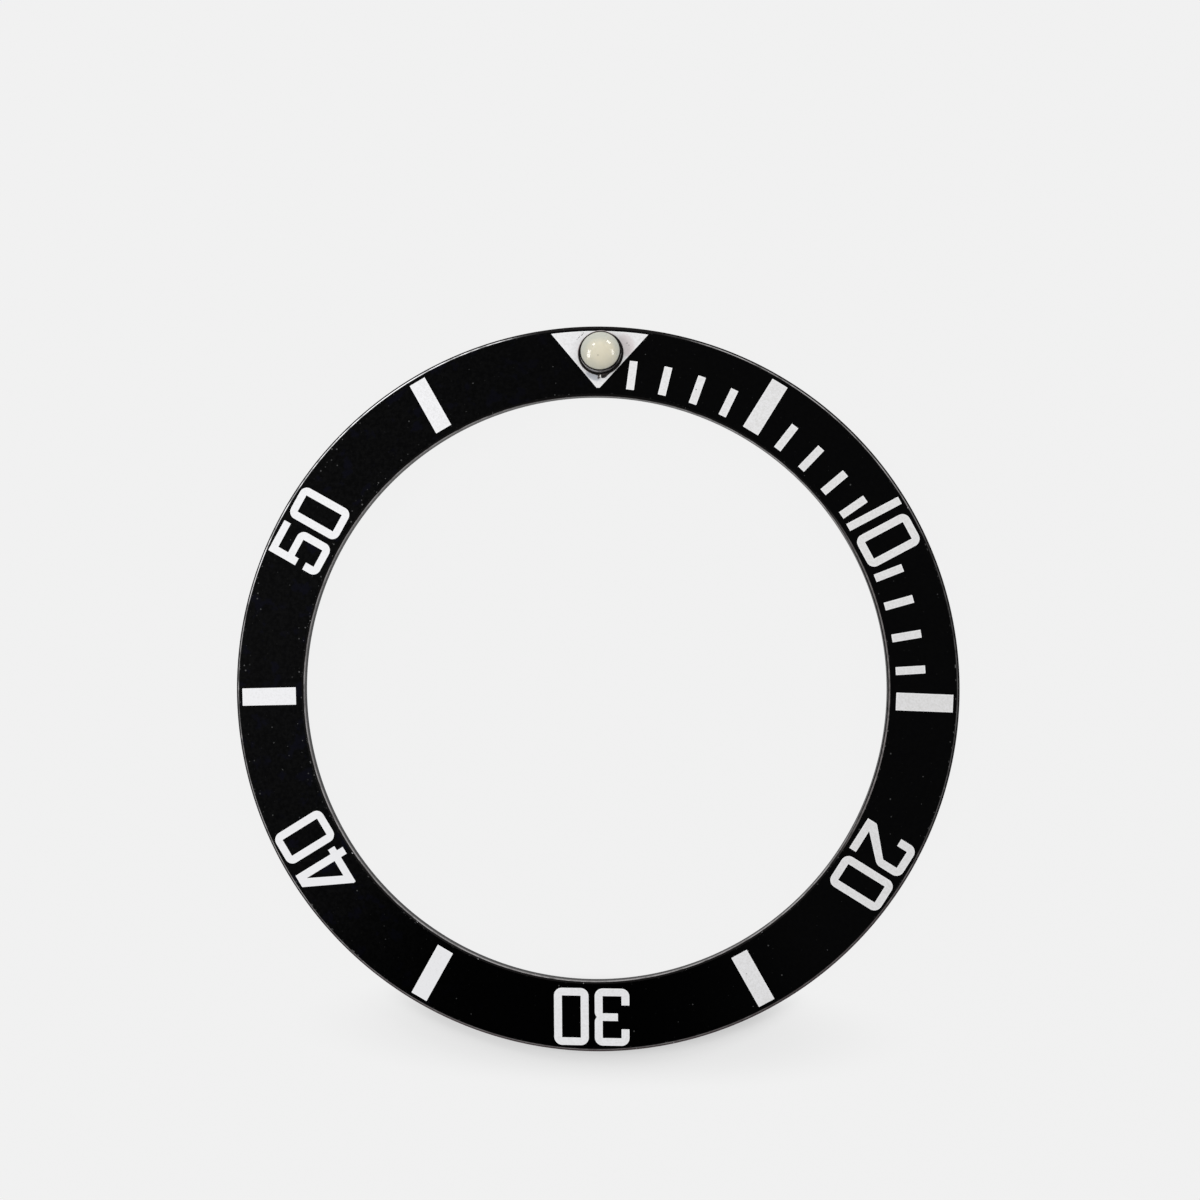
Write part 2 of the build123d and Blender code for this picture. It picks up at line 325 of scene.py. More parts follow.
# Each reach is measured outwards from the bore's radius.
turnedEdge = {
    "black": (0.004, 0.0035, 0.0035, 1), "brown": (0.066, 0.050, 0.052, 1), "grey": (0.30, 0.29, 0.29, 1),
    "wall": (0.175, 0.162, 0.160, 1), "bright": (0.92, 0.92, 0.93, 1),
    "inputs": {"Roughness": 0.35, "Specular IOR Level": 0.03},
    "mottle": ((3.0, 4.0, 0.7), (0.3, 0.7, 0.5, 1.0)), "strokes": ((0.9, 5.0, 0.7), (0.35, 0.6, 0.25, 1.0)),
    "topSide": (0, 19, 9), "upperLeftSide": (-40, 42, 22), "lowSide": (172, 68, 35),
    "rightSide": (88, 38, 20), "brownReflectionSpan": (18.79, 18.82), "highlightCornerSpan": (18.89, 18.94, 0.0, 0.2),
    "rimLine": (18.832, 0.040), "lineLoss": 0.75, "middleSpan": (17.0, 17.1), "wallSpan": (0.98, 1.06),
    "bevelReach": (0.045, 0.06), "wallReach": (0.02, 0.005), "boreLineReach": 0.012, "boreLineHalf": 0.03,
    "boreLineSpan": (1.13, 1.18), "topWallSide": (0, 75, 40), "topWallShare": 0.25,
    "chips": ((3.4, 4.0, 0.75), (0.67, 0.71)), "chipShare": 0.5,
}


def dustAndChips(tree, place, radius):
    # Dust all over, crowded near the rim on the left, and chips along the two edges of the face.
    look = blackFace
    edge = calc(tree, "MINIMUM", calc(tree, "SUBTRACT", ring["faceOuter"], radius),
                calc(tree, "SUBTRACT", radius, ring["faceInner"]))
    dust = times(tree, specks(tree, place, *look["dust"]), look["dustShare"])
    fine = times(tree, specks(tree, place, *look["fineDust"]), look["fineShare"])
    nearRim = times(tree, span(tree, edge, *look["crowdSpan"]), towards(tree, place, *look["crowdSide"]))
    crowd = times(tree, specks(tree, place, *look["crowd"]), times(tree, nearRim, look["crowdShare"]))
    worn = calc(tree, "ADD", *(towards(tree, place, *side) for side in look["wornSides"]))
    chips = times(tree, patches(tree, place, *look["chips"]),
                  span(tree, edge, *look["chipBand"]),
                  calc(tree, "ADD", times(tree, worn, look["wornShare"]), look["chipShare"]))
    larger = times(tree, flecks(tree, place, look["larger"]), look["largerShare"])
    return most(tree, dust, fine, crowd, chips, larger)


def faceMaterial():
    # Black anodising, finely mottled and faintly blue on the left. Painted sheen makes it greyer on the
    # left, and painted shade makes it darkest and least glossy at the bottom.
    look = blackFace
    made, tree, shader = newMaterial("blackAnodisedFace", look)
    place = objectPlace(tree)
    left = towards(tree, place, *look["leftSide"])
    low = towards(tree, place, *look["lowSide"])
    mottle = patches(tree, place, *look["mottle"])
    # Painted sheen: the mottled grey lift is strongest on the left.
    lift = times(tree, calc(tree, "ADD", times(tree, left, look["leftShare"]), look["evenShare"]), mottle)
    clouds = patches(tree, place, *look["clouds"])
    base = blend(tree, lift, look["colour"], look["greyer"])
    base = blend(tree, times(tree, clouds, left, look["cloudShare"]), base, look["blue"])
    # Painted shade: darkest, and with less gloss, towards the bottom.
    base = blend(tree, times(tree, low, look["lowShare"]), base, look["shadedBlack"])
    pale = dustAndChips(tree, place, radiusOf(tree, place))
    put(tree, shader, {
        "Base Color": blend(tree, pale, base, look["pale"]),
        "Specular IOR Level": times(tree, without(tree, low), look["gloss"]),
    })
    return made


def rimTone(tree, place, radius, mottle, strokes, right, fade):
    # Brown low down, a painted reflection; a pale outer corner on the upper left, a painted highlight;
    # and one rubbed line, its painted highlight brightest on the upper left, weaker low down and right.
    look = turnedEdge
    upperLeft = towards(tree, place, *look["upperLeftSide"])
    low = times(tree, towards(tree, place, *look["lowSide"]), mottle)
    # Painted reflection: the outer bevel turns brown low down.
    brown = times(tree, low, span(tree, radius, *look["brownReflectionSpan"]))
    # Painted highlight: the outermost corner is paler on the upper left.
    corner = times(tree, upperLeft, span(tree, radius, *look["highlightCornerSpan"]))
    tone = blend(tree, corner, blend(tree, brown, look["black"], look["brown"]), look["wall"])
    # The rubbed line is wear; how bright it is on each side is a painted highlight.
    rubbedAndLit = times(tree, line(tree, radius, *look["rimLine"]), times(tree, strokes, fade))
    for side in (low, right):
        rubbedAndLit = times(tree, rubbedAndLit, without(tree, times(tree, side, look["lineLoss"])))
    return blend(tree, rubbedAndLit, tone, blend(tree, upperLeft, look["grey"], look["bright"]))


def boreTone(tree, place, radius, mottle, strokes, right, fade):
    # A paler bevel on the right, a painted highlight; a paler upper wall elsewhere; and one rubbed line
    # between the two.
    look, bore = turnedEdge, ring["boreRadius"]
    height = partOf(tree, place, "Z")
    elsewhere = without(tree, right)
    onBevel = span(tree, radius, *(bore + reach for reach in look["bevelReach"]))
    # Painted highlight: the bevel is paler on the right.
    tone = blend(tree, times(tree, right, onBevel, mottle), look["black"], look["wall"])
    atTop = times(tree, towards(tree, place, *look["topWallSide"]), look["topWallShare"])
    wallShare = times(tree, most(tree, span(tree, height, *look["wallSpan"]), atTop), elsewhere)
    wall = blend(tree, times(tree, wallShare, mottle), look["black"], look["wall"])
    tone = blend(tree, span(tree, radius, *(bore + reach for reach in look["wallReach"])), tone, wall)
    rubbedAndLit = times(tree, line(tree, radius, bore + look["boreLineReach"], look["boreLineHalf"]),
                   span(tree, height, *look["boreLineSpan"]), strokes)
    return blend(tree, times(tree, rubbedAndLit, times(tree, fade, elsewhere)), tone, look["grey"])


def edgeMaterial():
    # The turned edges: black dye, with a painted brown reflection low down. Their sharp corners are
    # rubbed to bare metal in thin broken lines, whose painted highlight is brightest at 10 to 11 o'clock
    # and gone at 12.
    look = turnedEdge
    made, tree, shader = newMaterial("turnedAnodisedEdge", look)
    place = objectPlace(tree)
    radius = radiusOf(tree, place)
    mottle = patches(tree, place, *look["mottle"])
    strokes = patches(tree, place, *look["strokes"])
    right = towards(tree, place, *look["rightSide"])
    fade = without(tree, towards(tree, place, *look["topSide"]))
    shared = (tree, place, radius, mottle, strokes, right, fade)
    tone = blend(tree, span(tree, radius, *look["middleSpan"]), boreTone(*shared), rimTone(*shared))
    chips = times(tree, patches(tree, place, *look["chips"]), fade, look["chipShare"])
    put(tree, shader, {"Base Color": blend(tree, chips, tone, look["bright"])})
    return made


def ringProfile():
    # Half section of the ring as (radius, height, rounding), from the back edge up and over the face.
    rim, bore, outer, inner = picked(ring, "rimRadius", "boreRadius", "faceOuter", "faceInner")
    high, back, backSoft, soft = picked(ring, "rimHeight", "backBreak", "backRound", "edgeRound")
    land, top = rim - ring["landWidth"], faceHeight(inner)
    return [
        (rim - back, 0, backSoft), (rim, back, backSoft), (rim, high - ring["rimBevelHeight"], soft),
        (outer, high, soft), (inner, top, soft), (bore, top - ring["boreBevelHeight"], soft),
        (bore, (land - bore) * math.tan(slope), soft), (land, 0, soft),
    ]


def insertRing():
    # The closed profile carried round the axis. Only its sloped span is the black face.
    slack, steps = picked(ring, "faceSlack", "turnSteps")
    run = divided(softOutline(ringProfile(), ring["arcSteps"]), ring["spanStep"])
    quads = gridQuads(steps, len(run))
    midRadius, midHeight = ((run + np.roll(run, -1, 0)) / 2).T
    onFace = (midRadius > ring["faceInner"] + slack) & (midRadius < ring["faceOuter"] - slack)
    onFace &= midHeight > faceHeight(midRadius) - slack
    finishes = [np.tile(np.where(onFace, 0, 1), steps)]
    makePiece("insertRing", roundAxis(*run.T, steps), [quads], [faceMaterial(), edgeMaterial()],
              ["insert_ring"], finishes)


# Marks

# turns holds how far each mark stands from its own minute, in degrees clockwise.
mark = {
    "depth": 0.08, "proud": 0.008, "rounding": 0.006, "shoulder": 0.3, "border": 0.05, "grid": 0.16,
    "mitreLeast": 0.4, "minutes": 60, "barStep": 5, "numeralStep": 10, "ticksEnd": 15,
    "barWidth": 0.91, "tickWidth": 0.41, "tickLength": 1.55, "tickGap": 0.32,
    "triangleWidth": 5.10, "triangleTip": 0.16, "triangleTop": 18.68, "arcPoints": 40,
    "turns": {
        1: 0.1, 2: 0.25, 3: 0.35, 4: 0.45, 5: 0.55, 6: 0.7, 7: 0.6, 8: 0.65, 10: 1.0,
        12: 1.4, 13: 1.55, 14: 1.75, 15: 1.45, 20: 1.4, 25: 0.15, 30: -0.7,
        35: -1.45, 40: -2.5, 45: -2.6, 50: -2.15, 55: -1.05,
    },
}
barLength = (ring["markOuter"] - ring["markInner"]) / math.cos(slope)
# The values under a digit's own name are shares of its width and height.
digits = {
    "height": (ring["markOuter"] - ring["numeralInner"]) / math.cos(slope),
    "stroke": 0.41, "width": 1.80, "corner": 0.42, "elbow": 0.55, "gap": 0.32, "gapByOne": 0.45,
    "fourWidth": 2.17, "fourOverhang": 0.26, "waistTurn": 42.0, "waistPoints": 8,
    "two": {"notch": 0.294, "elbow": 0.549, "stem": 0.593, "hook": 0.670, "heel": (0.028, 0.192, 0.168)},
    "three": {"hook": 0.291, "middle": 0.333},
    "four": {"bar": 0.121, "apex": 0.562, "left": (0.158, 0.010), "window": (0.281, 0.848)},
    "five": {"arm": 0.661, "stem": 0.441, "hook": 0.2915},
}
silver = {
    "colour": (0.735, 0.735, 0.75, 1), "shade": (0.57, 0.565, 0.56, 1), "border": (0.87, 0.87, 0.87, 1),
    "grimeAndShade": (0.06, 0.05, 0.05, 1), "pinkShade": (0.50, 0.43, 0.43, 1), "blueGreyShade": (0.32, 0.34, 0.38, 1),
    "inputs": {"Roughness": 0.55, "Specular IOR Level": 0.2},
    "grain": ((9.0, 4.0, 0.65), (0.35, 0.7, -0.2, 0.35)),
    "rightEnd": 0.8, "rightShare": 0.7, "lowSide": (180, 80, 20), "lowShare": 0.3, "borderShare": 0.5,
    "besidePearl": ((1.38, 17.95), (0.55, 0.75), 20), "besideShare": 0.55,
    "belowPearl": ((-0.27, 16.27), (0.50, 0.25), -25), "belowShare": 0.75, "dirt": (2.2, 0.04, 0.035),
    "scratchesAndShade": [
        ((-1.08, 18.33), (0.10, 0.018), 48), ((-0.92, 18.47), (0.09, 0.02), 45),
        ((-0.86, 18.57), (0.03, 0.03)), ((-1.18, 18.22), (0.025, 0.02)),
        ((1.45, 18.04), (0.035, 0.03)), ((1.55, 17.93), (0.04, 0.02)),
        ((3.17, 15.71), (0.035, 0.03)), ((5.10, 15.60), (0.045, 0.03), 30),
        # The next oval is painted shade at the cement drop; the others are scratches and specks.
        ((0.02, 16.20), (0.075, 0.12), -25),
    ],
}


def silverMaterial():
    # Frosted silver print, grained, paler at its border. Painted light makes it bright and cool on the
    # left, greyer on the right and lighter low down; painted shade lies beside and below the pearl.
    look = silver
    made, tree, shader = newMaterial("frostedSilver", look)
    place = objectPlace(tree)
    rim = ring["rimRadius"]
    # Painted light: greyer towards the right and lighter low down.
    across = span(tree, partOf(tree, place, "X"), -rim, rim * look["rightEnd"])
    grain = patches(tree, place, *look["grain"])
    low = times(tree, towards(tree, place, *look["lowSide"]), look["lowShare"])
    shade = calc(tree, "ADD", times(tree, across, look["rightShare"]), grain)
    shade = calc(tree, "SUBTRACT", shade, low)
    tone = blend(tree, shade, look["colour"], look["shade"])
    near = newNode(tree, "ShaderNodeAttribute", {}, attribute_name="edgeNear").outputs["Fac"]
    tone = blend(tree, times(tree, near, look["borderShare"]), tone, look["border"])
    # Painted shade of the pearl on the print: pinkish beside it and blue-grey below it.
    for side, shadeTone in (("beside", "pinkShade"), ("below", "blueGreyShade")):
        shadeShare = times(tree, fleck(tree, place, *look[side + "Pearl"]), look[side + "Share"])
        tone = blend(tree, shadeShare, tone, look[shadeTone])
    # Dirt specks and scratches, and the painted shade at the cement drop, all in the dark grime tone.
    dirt = most(tree, specks(tree, place, *look["dirt"]), flecks(tree, place, look["scratchesAndShade"]))
    put(tree, shader, {"Base Color": blend(tree, dirt, tone, look["grimeAndShade"])})
    return made


def boxOutline(width, length):
    # A rectangle astride x = 0, from y = 0 to its length.
    return np.array([(-width / 2, 0), (width / 2, 0), (width / 2, length), (-width / 2, length)])


def triangleOutline():
    # Tip to the bore, straight sides, and an arc of the rim's own centre across the top.
    half, tip, top = mark["triangleWidth"] / 2, mark["triangleTip"] / 2, mark["triangleTop"]
    reach = math.asin(half / top)
    a = np.linspace(reach, -reach, mark["arcPoints"])
    arc = np.stack([top * np.sin(a), (top * np.cos(a) - ring["markInner"]) / math.cos(slope)], 1)
    return np.concatenate([[(-tip, 0), (tip, 0)], arc])


# Each digit gives its outline and its hole, or None. w, h, t and r are its width, height, stroke and
# corner radius, and s holds its own shares.

def digitOne():
    return boxOutline(digits["stroke"], digits["height"]) + (digits["stroke"] / 2, 0), None


def digitZero():
    w, h, t, r = picked(digits, "width", "height", "stroke", "corner")
    outside = softOutline([(0, 0, r), (w, 0, r), (w, h, r), (0, h, r)])
    return outside, np.array([(t, t), (t, h - t), (w - t, h - t), (w - t, t)])


def digitTwo():
    w, h, t, r = picked(digits, "width", "height", "stroke", "corner")
    s = digits["two"]
    heelX, heelHigh, heelLow = s["heel"]
    return softOutline([
        (0, 0), (w, 0), (w, t), (w * s["notch"], t), (w, h * s["elbow"], digits["elbow"]),
        (w, h, r), (0, h, r), (0, h * s["hook"]), (t, h * s["hook"]),
        (t, h - t), (w - t, h - t), (w - t, h * s["stem"]), (w * heelX, h * heelHigh), (0, h * heelLow),
    ]), None


def digitThree():
    # The right side is drawn in two halves, so that each bowl's arc ends at the notch of the waist.
    w, h, t, r = picked(digits, "width", "height", "stroke", "corner")
    hook, middle = h * digits["three"]["hook"], w * digits["three"]["middle"]
    waist = math.radians(digits["waistTurn"])
    reach = r * math.sin(waist)
    a = np.linspace(0, waist, digits["waistPoints"])
    lower = np.stack([w - r + r * np.cos(a), h / 2 - reach + r * np.sin(a)], 1)
    upper = lower[::-1] * (1, -1) + (0, h)
    ends = softOutline([
        (w, h, r), (0, h, r), (0, h - hook), (t, h - hook), (t, h - t), (w - t, h - t),
        (w - t, h / 2 + t / 2), (middle, h / 2 + t / 2), (middle, h / 2 - t / 2),
        (w - t, h / 2 - t / 2), (w - t, t), (t, t), (t, hook), (0, hook), (0, 0, r), (w, 0, r),
    ])
    return np.concatenate([ends, lower, upper[1:]]), None


def digitFour():
    w, h, t = picked(digits, "fourWidth", "height", "stroke")
    s = digits["four"]
    stem, bar = w - digits["fourOverhang"], h * s["bar"]
    leftHigh, leftLow = s["left"]
    windowX, windowY = s["window"]
    outside = np.array([
        (stem - t, 0), (stem, 0), (stem, bar), (w, bar), (w, bar + t), (stem, bar + t), (stem, h),
        (w * s["apex"], h), (0, h * leftHigh), (w * leftLow, bar), (stem - t, bar),
    ])
    return outside, np.array([(w * windowX, bar + t), (stem - t, h * windowY), (stem - t, bar + t)])


def digitFive():
    w, h, t, r = picked(digits, "width", "height", "stroke", "corner")
    s = digits["five"]
    arm = h * s["arm"]
    return softOutline([
        (0, h * s["stem"]), (t, h * s["stem"]), (t, arm - t), (w - t, arm - t), (w - t, t), (t, t),
        (t, h * s["hook"]), (0, h * s["hook"]), (0, 0, r), (w, 0, r), (w, arm, r), (t, arm),
        (t, h - t), (w, h - t), (w, h), (0, h),
    ]), None


digitShapes = dict(zip("012345", (digitZero, digitOne, digitTwo, digitThree, digitFour, digitFive)))


def numeralWidths(minute):
    # A digit's outline starts at zero, so it is as wide as its furthest point.
    first, second = (digitShapes[name]()[0][:, 0].max() for name in str(minute))
    gap = digits["gapByOne"] if str(minute).startswith("1") else digits["gap"]
    return first, gap, second


def numeralLoops(minute):
    # Two digits side by side, each as one outline and its hole.
    first, gap, second = numeralWidths(minute)
    left = -(first + gap + second) / 2
    made = []
    for name, start in zip(str(minute), (left, left + first + gap)):
        made.append([loop + (start, 0) for loop in digitShapes[name]() if loop is not None])
    return made


def markAngle(minute):
    # The minute's share of a full turn and its own turn off it.
    return minute * 360 / mark["minutes"] + mark["turns"].get(minute, 0)


def tickAngle(minute):
    # The two ticks beside the first numeral stand just clear of it.
    numeral = mark["numeralStep"]
    if abs(minute - numeral) > 1:
        return markAngle(minute)
    offset = sum(numeralWidths(numeral)) / 2 + mark["tickGap"] + mark["tickWidth"] / 2
    turn = math.degrees(math.atan(offset / ring["markInner"]))
    return markAngle(numeral) + math.copysign(turn, minute - numeral)


def drawnIn(loop, distance):
    # Each point moves to the left of the run by distance, along the mitre of its two spans.
    back, ahead = loop - np.roll(loop, 1, 0), np.roll(loop, -1, 0) - loop
    back /= np.hypot(back[:, 0], back[:, 1])[:, None]
    ahead /= np.hypot(ahead[:, 0], ahead[:, 1])[:, None]
    left = np.stack([-back[:, 1] - ahead[:, 1], back[:, 0] + ahead[:, 0]], 1)
    size = np.hypot(left[:, 0], left[:, 1])[:, None]
    left /= size
    return loop + left * distance / np.maximum(size / 2, mark["mitreLeast"])


def insideLoops(spots, loops):
    # Even-odd rule: a spot is inside when a line to the right crosses the loops an odd number of times.
    # The second result is each spot's distance from the loops.
    crossed = np.zeros(len(spots), int)
    clear = np.full(len(spots), np.inf)
    x, y = spots[:, None, 0], spots[:, None, 1]
    for loop in loops:
        a, b = loop[None], np.roll(loop, -1, 0)[None]
        along = b - a
        spans = (a[..., 1] > y) != (b[..., 1] > y)
        rise = np.where(np.abs(along[..., 1]) < finest, finest, along[..., 1])
        crossed += (spans & (x < a[..., 0] + (y - a[..., 1]) * along[..., 0] / rise)).sum(1)
        t = ((spots[:, None] - a) * along).sum(-1) / np.maximum((along ** 2).sum(-1), finest)
        nearest = a + along * np.clip(t, 0, 1)[..., None]
        clear = np.minimum(clear, np.hypot(*(spots[:, None] - nearest).transpose(2, 0, 1)).min(1))
    return crossed % 2 == 1, clear


def filled(loops, step):
    # Triangles over the area between loops, with grid spots inside, a third of a step off them.
    every = np.concatenate(loops)
    low, high = every.min(0), every.max(0)
    x, y = np.meshgrid(*(np.arange(low[k] + step / 2, high[k], step) for k in range(2)))
    grid = np.stack([x.ravel(), y.ravel()], 1)
    inside, clear = insideLoops(grid, loops)
    spots = np.concatenate([every, grid[inside & (clear > step / 3)]])
    edges, start = [], 0
    for loop in loops:
        index = np.arange(len(loop)) + start
        edges += list(zip(index.tolist(), np.roll(index, -1).tolist()))
        start += len(loop)
    _, _, corners, sources, _, _ = geometry.delaunay_2d_cdt(spots.tolist(), edges, [], 0, samePlace)
    triangles = np.array([source[0] for source in sources])[np.array(corners)]
    keep, _ = insideLoops(spots[triangles].mean(1), loops)
    return spots, triangles[keep]


def markSolid(loops):
    # A slab by its own flat x and y and its height off the face: a wall, a rounded edge, a border, a lid.
    soft, top = mark["rounding"], mark["proud"]
    shoulder = soft * mark["shoulder"]
    rows = [(0, -mark["depth"]), (0, 0), (0, top - soft), (shoulder, top - shoulder), (soft, top),
            (mark["border"], top)]
    points, faces, near, start = [], [], [], 0
    for loop in loops:
        stack = [np.column_stack([drawnIn(loop, d), np.full(len(loop), h)]) for d, h in rows]
        points.append(np.concatenate(stack))
        faces.append(gridQuads(len(rows), len(loop), wrapRows=False) + start)
        near.append(np.repeat([1] * (len(rows) - 1) + [0], len(loop)))
        start += len(rows) * len(loop)
    offsets = np.cumsum([0] + [len(rows) * len(loop) for loop in loops])[:-1]
    lids = []
    for row in (len(rows) - 1, 0):
        distance, height = rows[row]
        spots, triangles = filled([drawnIn(loop, distance) for loop in loops], mark["grid"])
        rim = np.concatenate([np.arange(len(l)) + o + row * len(l) for l, o in zip(loops, offsets)])
        inner = np.arange(len(spots) - len(rim)) + start
        index = np.concatenate([rim, inner])
        points.append(np.column_stack([spots[len(rim):], np.full(len(inner), height)]))
        near.append(np.zeros(len(inner)))
        start += len(inner)
        a, b, c = (spots[triangles[:, k]] for k in range(3))
        (firstX, firstY), (nextX, nextY) = (b - a).T, (c - a).T
        upward = (firstX * nextY - firstY * nextX).sum() > 0
        lids.append(index[triangles if upward == (row > 0) else triangles[:, ::-1]])
    return np.concatenate(points), faces, np.concatenate(lids), np.concatenate(near)


def ontoFace(flat, angle, radius):
    # Flat x runs clockwise and y outwards down the slope, so plan reach is radius + y cos(slope).
    turn = math.radians(angle)
    x, y = flat[:, 0], radius + flat[:, 1] * math.cos(slope)
    planX, planY = x * math.cos(turn) + y * math.sin(turn), y * math.cos(turn) - x * math.sin(turn)
    reach = np.hypot(planX, planY)
    lift = flat[:, 2]
    out = lift * math.sin(slope) / reach
    return np.stack([planX * (1 + out), planY * (1 + out), faceHeight(reach) + lift * math.cos(slope)], 1)


def markPiece(name, node, groups, angle, radius, material):
    # groups is one list of loops for each separate figure of the mark.
    points, quads, triangles, near, start = [], [], [], [], 0
    for loops in groups:
        flat, sides, lid, close = markSolid([divided(loop, mark["grid"]) for loop in loops])
        points.append(ontoFace(flat, angle, radius))
        quads += [side + start for side in sides]
        triangles.append(lid + start)
        near.append(close)
        start += len(flat)
    makePiece(name, np.concatenate(points), [np.concatenate(quads), np.concatenate(triangles)],
              [material], [node], edgeNear=np.concatenate(near), smooth=False)


def allMarks():
    material = silverMaterial()
    inner = ring["markInner"]
    bar = boxOutline(mark["barWidth"], barLength)
    tick = boxOutline(mark["tickWidth"], mark["tickLength"])
    markPiece("triangleMarker", "triangle_marker", [[triangleOutline()]], 0, inner, material)
    for minute in range(1, mark["minutes"]):
        if minute % mark["numeralStep"] == 0:
            markPiece(f"numeral{minute}", f"numeral_{minute}", numeralLoops(minute), markAngle(minute),
                      ring["numeralInner"], material)
        elif minute % mark["barStep"] == 0:
            markPiece(f"bar{minute:02d}", f"bar_{minute:02d}", [[bar]], markAngle(minute), inner, material)
        elif minute < mark["ticksEnd"]:
            markPiece(f"minuteTick{minute:02d}", f"minute_tick_{minute:02d}", [[tick]],
                      tickAngle(minute), inner, material)


# Pearl

pearl = {
    "radius": 17.50, "side": 0.08, "pinRadius": 0.60, "pinLength": 0.66, "pinRound": 0.05, "foot": 1.16,
    "footHeight": 0.10, "cup": 1.09, "cupHeight": 0.43, "wall": 0.07, "floor": 0.12, "edgeRound": 0.015,
    "rimBand": 0.02, "footBand": 0.01, "fill": 0.17, "fillGap": 0.01, "fillRound": 0.02, "arcSteps": 4,
    "domeGap": 0.0005, "domeEdge": 0.13, "domeRise": 0.42, "domeFoot": (0.03, 0.008), "capPoints": 28,
    "turnSteps": 128,
}


def turnedShape(profile, steps):
    # A run of (radius, height) carried round the pearl's axis; a zero radius at an end is one pole.
    poleFirst, poleLast = profile[0, 0] < finest, profile[-1, 0] < finest
    body = profile[int(poleFirst):len(profile) - int(poleLast)]
    points = roundAxis(*body.T, steps)
    faces = [gridQuads(steps, len(body), wrapColumns=not (poleFirst or poleLast))]
    k = np.arange(steps)
    following = (k + 1) % steps
    for pole, column, height in ((poleFirst, 0, profile[0, 1]), (poleLast, len(body) - 1, profile[-1, 1])):
        if pole:
            tip = np.full(steps, len(points))
            points = np.concatenate([points, [[0, 0, height]]])
            fan = [tip, k * len(body) + column, following * len(body) + column]
            faces.append(np.stack(fan if column == 0 else fan[::-1], 1)[:, ::-1])
    return points, faces


def onPearl(points):
    # The pearl's own x is clockwise, y down the slope and z square to the face.
    base = np.array([pearl["side"], pearl["radius"], faceHeight(pearl["radius"])])
    x, y, z = points.T
    s, c = math.sin(slope), math.cos(slope)
    return base + np.stack([x, y * c + z * s, z * c - y * s], 1)


def pearlPoint(x, y, z):
    return onPearl(np.array([[x, y, z]]))[0]


def roundPearl(tree, place):
    # The place measured from the middle of the cup's lip, in plan.
    x, y, _ = pearlPoint(0, 0, pearl["cupHeight"])
    return placeFrom(tree, place, (x, y), (1, math.cos(slope)))


steel = {
    "dark": (0.045, 0.041, 0.042, 1), "light": (0.24, 0.23, 0.23, 1), "lit": (0.70, 0.67, 0.67, 1),
    "litSide": (-138, 75, 30), "litShare": 0.8, "stretch": (1, 1, 9), "grain": (2.6, 4.0, 0.65),
    "grainSpan": (0.42, 0.58), "bump": (0.2, 0.004), "inputs": {"Metallic": 0.8, "Roughness": 0.35},
}
tarnish = {
    "dark": (0.002, 0.002, 0.002, 1), "light": (0.009, 0.007, 0.007, 1), "worn": (0.55, 0.48, 0.48, 1),
    "highlightDepths": (0.032, 0.018), "highlightSide": (-8, 55, 30), "wornShare": 0.8,
    "grain": ((10.0, 3.0, 0.6), (0.4, 0.7)), "inputs": {"Roughness": 0.4, "Specular IOR Level": 0.03},
}
cream = {
    "middle": (0.60, 0.56, 0.44, 1), "edge": (0.44, 0.445, 0.39, 1), "dirt": (0.20, 0.19, 0.15, 1),
    "crown": (0.1, -0.22, 0.6), "edgeShadeSpan": (0.35, 1.15), "specks": (5.0, 0.10, 0.03), "speckShare": 0.35,
    "clouds": ((1.6, 3.0, 0.55), (0.3, 0.7, -0.15, 0.15)),
    "spot": ((0.0, 17.27), (0.045, 0.04)), "spotShare": 0.6,
    "inputs": {
        "Roughness": 0.12, "Subsurface Weight": 0.25, "Subsurface Radius": (0.4, 0.38, 0.3),
        "Subsurface Scale": 0.5 * mm,
    },
}
paste = {
    "first": (0.55, 0.58, 0.42, 1), "second": (0.62, 0.64, 0.50, 1), "grain": (12.0, 3.0, 0.6),
    "bump": (0.3, 0.01), "inputs": {"Roughness": 0.8},
}
# A wave is (count round the foot, phase, share), and width and height shares are (even part, wavy part).
cement = {
    "width": 0.05, "height": 0.06, "gap": 0.004, "sunk": 0.02, "around": 192, "across": 16,
    "waves": ((5, 0.7, 0.15), (11, 0, 0.1)), "widthShares": (0.8, 0.25), "heightShares": (0.75, 0.3),
    "dropReach": 0.221, "dropAngle": 172.0, "dropSpread": 10.5, "dropHeight": 0.07,
    "dark": (0.002, 0.0015, 0.0015, 1), "brown": (0.03, 0.022, 0.02, 1), "pink": (0.42, 0.34, 0.34, 1),
    "pinkHighlightOval": ((-0.35, 18.25), (1.5, 0.95), 30), "pinkShare": 0.6,
    "pale": (0.90, 0.88, 0.84, 1), "highlightOval": ((0.09, 16.22), (0.045, 0.13), -15),
    "grain": ((7.0, 3.0, 0.6), (0.40, 0.65)), "inputs": {"Roughness": 0.2, "Specular IOR Level": 0.2},
}


def steelMaterial():
    # Turning lines: a place stretched in height draws the grain out round the wall.
    made, tree, shader = newMaterial("turnedSteel", steel)
    grain = noise(tree, objectPlace(tree, steel["stretch"]), *steel["grain"])
    tone = blend(tree, span(tree, grain, *steel["grainSpan"]), steel["dark"], steel["light"])
    lit = towards(tree, roundPearl(tree, objectPlace(tree)), *steel["litSide"])
    put(tree, shader, {
        "Base Color": blend(tree, times(tree, lit, steel["litShare"]), tone, steel["lit"]),
        "Normal": bump(tree, grain, *steel["bump"]),
    })
    return made


